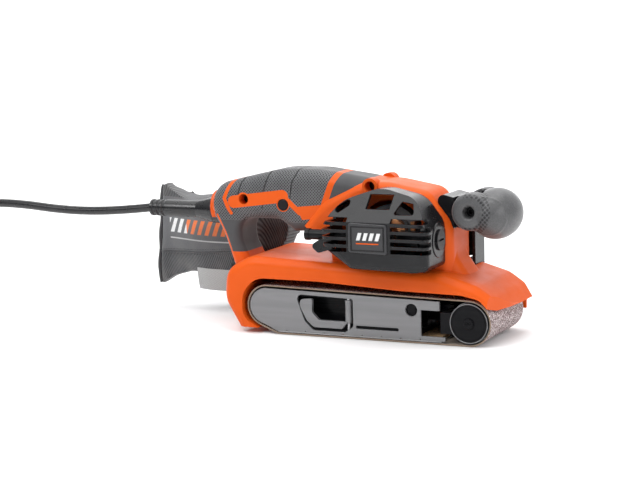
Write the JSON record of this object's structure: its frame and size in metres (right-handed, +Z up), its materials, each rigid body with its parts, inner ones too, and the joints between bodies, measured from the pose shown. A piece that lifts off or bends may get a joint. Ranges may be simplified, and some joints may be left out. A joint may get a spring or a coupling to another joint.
{
  "type": "handheld belt sander",
  "caption": "Handheld electric belt sander with an abrasive belt on two rollers, D-shaped rear handle with trigger, turning front knob, belt tension lever, dust bag and power cord.",
  "frame": {"origin": "centre of the sanding face: on the belt's flat lower run, in the middle of its width, under the tool's middle", "axes": "+Z up from the work, +X towards the nose and front knob, +Y towards the tool's left, the drive-belt side"},
  "size_m": [0.7586, 0.2017, 0.1311],
  "materials": {
    "orange_plastic": "moulded glass-filled nylon, satin",
    "grey_rubber": "textured soft grip",
    "grey_plastic": "moulded plastic, fine grain",
    "black_plastic": "moulded plastic",
    "steel": "machined steel",
    "plate_grey": "grey painted steel sheet",
    "black_metal": "black painted casting",
    "aluminium": "die cast",
    "abrasive": "aluminium oxide grit on cloth",
    "roller_rubber": "ribbed rubber lagging",
    "cork": "pressed cork",
    "copper": "enamelled copper wire",
    "brass": "drawn brass",
    "carbon": "carbon",
    "bag_cloth": "woven polyester",
    "cord_rubber": "smooth black cord sheath"
  },
  "bodies": {
    "housing": {"housing_right": "orange_plastic", "housing_left": "orange_plastic", "grip_rubber_right": "grey_rubber", "grip_rubber_left": "grey_rubber", "belt_guard": "orange_plastic", "steel_shoe": "steel", "cork_pad": "cork", "belt_frame": "black_metal", "bearings": "steel", "side_plate": "plate_grey", "lever_pin": "steel", "timing_belt": "roller_rubber", "field_core": "steel", "field_coils": "copper", "carbon_brushes": "carbon", "brush_holders": "black_plastic", "brush_caps": "black_plastic", "gear_case": "aluminium", "drive_belt_cover": "grey_plastic", "motor_cover": "grey_plastic", "badge": "black_plastic", "handle_bracket": "grey_plastic", "front_handle_bolt": "black_metal", "switch_module": "black_plastic", "cord_clamp": "black_plastic", "strain_relief": "cord_rubber", "cord_tube": "cord_rubber", "cord_coil": "cord_rubber", "plug_body": "cord_rubber", "plug_blades": "brass", "dust_port": "grey_plastic", "screws": "black_metal", "tension_spring": "steel"},
    "belt": {"sanding_belt": "abrasive"},
    "drive_roller": {"drive_roller_core": "aluminium", "drive_roller_rubber": "roller_rubber", "drive_shaft": "steel", "large_pulley": "aluminium"},
    "counter": {"counter_gear": "steel", "small_pulley": "aluminium", "countershaft": "steel"},
    "armature": {"armature_pinion": "steel", "armature_shaft": "steel", "armature_core": "steel", "armature_windings": "copper", "commutator": "copper", "cooling_fan": "black_plastic"},
    "yoke": {"tension_yoke": "black_metal", "fork_pin": "steel"},
    "fork": {"tracking_fork": "black_metal", "front_axle": "black_metal"},
    "idler": {"front_roller": "aluminium", "front_roller_bearings": "aluminium"},
    "lever": {"tension_lever": "plate_grey"},
    "tracking": {"tracking_knob": "black_plastic"},
    "trigger": {"trigger": "black_plastic"},
    "lock": {"lock_button": "black_plastic"},
    "front_handle": {"front_grip": "grey_rubber"},
    "bag": {"dust_bag": "bag_cloth", "bag_collar": "black_plastic"}
  },
  "joints": [
    {"name": "belt_change", "type": "slide", "parent": "housing", "child": "belt", "axis": [0, -1, 0], "range_m": [0, 0.082]},
    {"name": "armature_spin", "type": "hinge", "parent": "housing", "child": "armature", "pos_m": [0.016, 0, 0.082], "axis": [0, 1, 0], "continuous": true},
    {"name": "countershaft_spin", "type": "hinge", "parent": "housing", "child": "counter", "pos_m": [-0.0055, 0, 0.07537], "axis": [0, 1, 0], "continuous": true},
    {"name": "drive_roller_spin", "type": "hinge", "parent": "housing", "child": "drive_roller", "pos_m": [-0.088, 0, 0.0224], "axis": [0, 1, 0], "continuous": true},
    {"name": "tension_lever_swing", "type": "hinge", "parent": "housing", "child": "lever", "pos_m": [-0.0165, -0.035, 0.019], "axis": [0, 0, 1], "range_deg": [0, 60]},
    {"name": "yoke_slide", "type": "slide", "parent": "housing", "child": "yoke", "axis": [1, 0, 0], "range_m": [-0.00596, 0], "deforming": ["tension_spring"]},
    {"name": "fork_tilt", "type": "hinge", "parent": "yoke", "child": "fork", "pos_m": [0.056, 0, 0.01725], "axis": [0, 0, 1], "range_deg": [-0.82, 0.82]},
    {"name": "idler_spin", "type": "hinge", "parent": "fork", "child": "idler", "pos_m": [0.0855, 0, 0.018], "axis": [0, 1, 0], "continuous": true},
    {"name": "tracking_knob_turn", "type": "hinge", "parent": "housing", "child": "tracking", "pos_m": [0.058, 0.05, 0.049], "axis": [0, 1, 0], "range_deg": [-180, 180]},
    {"name": "trigger_pull", "type": "hinge", "parent": "housing", "child": "trigger", "pos_m": [-0.066, 0, 0.09], "axis": [0, 1, 0], "range_deg": [0, 14], "stiffness_Nm_per_rad": 0.2, "springref_deg": -17.19},
    {"name": "lock_button_push", "type": "slide", "parent": "housing", "child": "lock", "axis": [0, 1, 0], "range_m": [0, 0.0025], "stiffness_N_per_m": 300, "springref_m": -0.002},
    {"name": "front_handle_tilt", "type": "hinge", "parent": "housing", "child": "front_handle", "pos_m": [0.0816, 0, 0.1023], "axis": [0, 1, 0], "range_deg": [-45, 20]},
    {"name": "dust_bag_pull", "type": "slide", "parent": "housing", "child": "bag", "axis": [-1, 0, 0], "range_m": [0, 0.03]}
  ],
  "couplings": [
    {"joint": "countershaft_spin", "follows": "armature_spin", "ratio": -0.32353},
    {"joint": "drive_roller_spin", "follows": "armature_spin", "ratio": -0.16176},
    {"joint": "idler_spin", "follows": "armature_spin", "ratio": -0.15225},
    {"joint": "tension_lever_swing", "follows": "yoke_slide", "rad_per_m": -175.44},
    {"joint": "tracking_knob_turn", "follows": "fork_tilt", "ratio": 217.39}
  ]
}
